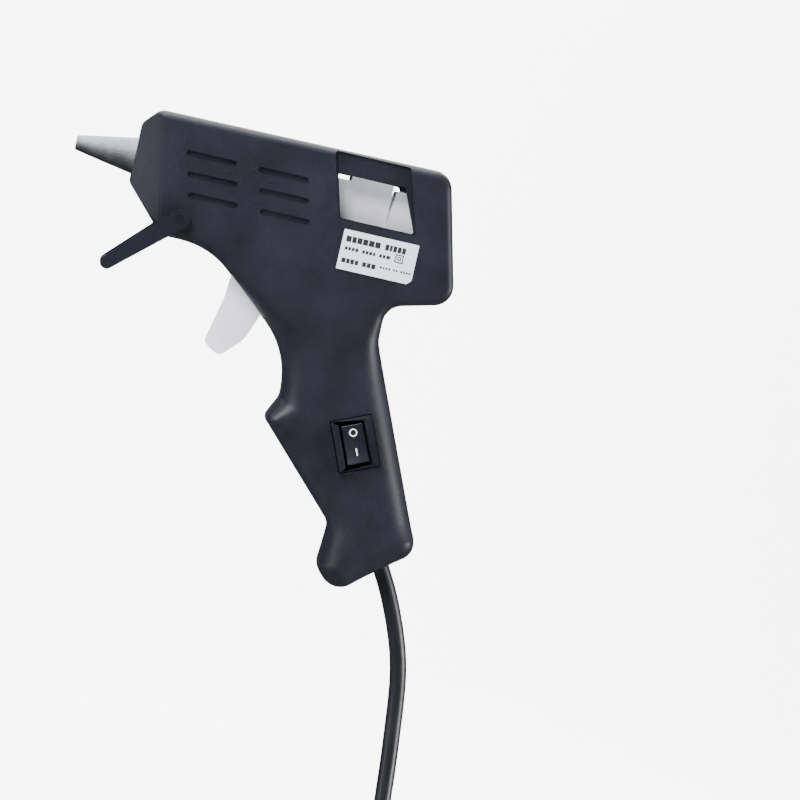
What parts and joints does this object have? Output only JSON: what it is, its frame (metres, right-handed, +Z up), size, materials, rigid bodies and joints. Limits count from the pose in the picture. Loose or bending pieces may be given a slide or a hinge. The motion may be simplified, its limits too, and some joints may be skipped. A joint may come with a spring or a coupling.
{
  "type": "glue gun",
  "caption": "Small hand-held hot-glue gun: clamshell casing with swept grip, tapered nozzle, trigger-driven feed carriage, rocker switch, fold-out stand and coiled mains lead.",
  "frame": {"origin": "middle of the grip, on the parting plane, where a hand holds it", "axes": "+X from the nozzle to the rear of the barrel, +Z up from the grip to the barrel, +Y to the right-hand half of the casing"},
  "size_m": [0.1445, 0.0344, 0.3372],
  "materials": {
    "black_plastic": "fine moulded grain, half matt",
    "black_gloss": "smooth black moulding",
    "white_plastic": "smooth off-white moulding",
    "aluminium": "die-cast, dull, with small pits",
    "steel": "zinc-plated",
    "brass": "nickel-washed pins",
    "silicone": "matt red silicone",
    "ceramic": "unglazed ceramic",
    "label_paper": "satin printed sticker",
    "cord_rubber": "smooth black sheath",
    "wire_blue": "insulated wire",
    "wire_brown": "insulated wire"
  },
  "bodies": {
    "casing": {"case_screw_1": "steel", "case_screw_2": "steel", "case_screw_3": "steel", "case_screw_4": "steel", "case_screw_5": "steel", "casing_left": "black_plastic", "casing_right": "black_plastic", "coil_tie": "cord_rubber", "cord": "cord_rubber", "cord_clamp": "black_plastic", "cord_coil": "cord_rubber", "cord_tail": "cord_rubber", "heater_clip": "steel", "heater_seat": "aluminium", "inlet_sleeve": "silicone", "live_wire_to_heater": "wire_brown", "live_wire_to_switch": "wire_brown", "melt_tube": "aluminium", "neutral_wire": "wire_blue", "nose_bush": "ceramic", "nozzle": "aluminium", "plug_body": "cord_rubber", "plug_boot": "cord_rubber", "plug_pin_1": "brass", "plug_pin_2": "brass", "ptc_heater": "ceramic", "rating_label": "label_paper", "switch_body": "black_gloss", "trigger_pin": "steel"},
    "trigger": {"trigger": "white_plastic", "trigger_spring": "steel"},
    "carriage": {"feed_carriage": "white_plastic", "clamp_pin": "steel"},
    "clamp": {"clamp_plate": "steel"},
    "rocker": {"switch_rocker": "black_gloss"},
    "stand": {"stand_arm_left": "black_gloss", "stand_arm_right": "black_gloss", "stand_foot_bar": "black_gloss"}
  },
  "joints": [
    {"name": "trigger_pull", "type": "hinge", "parent": "casing", "child": "trigger", "pos_m": [-0.026, 0, 0.036], "axis": [0, -1, 0], "range_deg": [0, 18.95], "stiffness_Nm_per_rad": 0.25, "springref_deg": -14.32},
    {"name": "carriage_slide", "type": "slide", "parent": "casing", "child": "carriage", "axis": [-1, 0, 0], "range_m": [0, 0.006]},
    {"name": "clamp_tilt", "type": "hinge", "parent": "carriage", "child": "clamp", "pos_m": [-0.0237, 0, 0.0692], "axis": [0, 1, 0], "range_deg": [0, 4]},
    {"name": "rocker_press", "type": "hinge", "parent": "casing", "child": "rocker", "pos_m": [0.005, -0.0115, -0.008], "axis": [0.9205, 0, 0.3907], "range_deg": [0, 14]},
    {"name": "stand_fold", "type": "hinge", "parent": "casing", "child": "stand", "pos_m": [-0.0618, 0, 0.0464], "axis": [0, -1, 0], "range_deg": [0, 84]}
  ],
  "couplings": [
    {"joint": "trigger_pull", "follows": "carriage_slide", "rad_per_m": 55.04},
    {"joint": "clamp_tilt", "follows": "carriage_slide", "rad_per_m": 11}
  ]
}
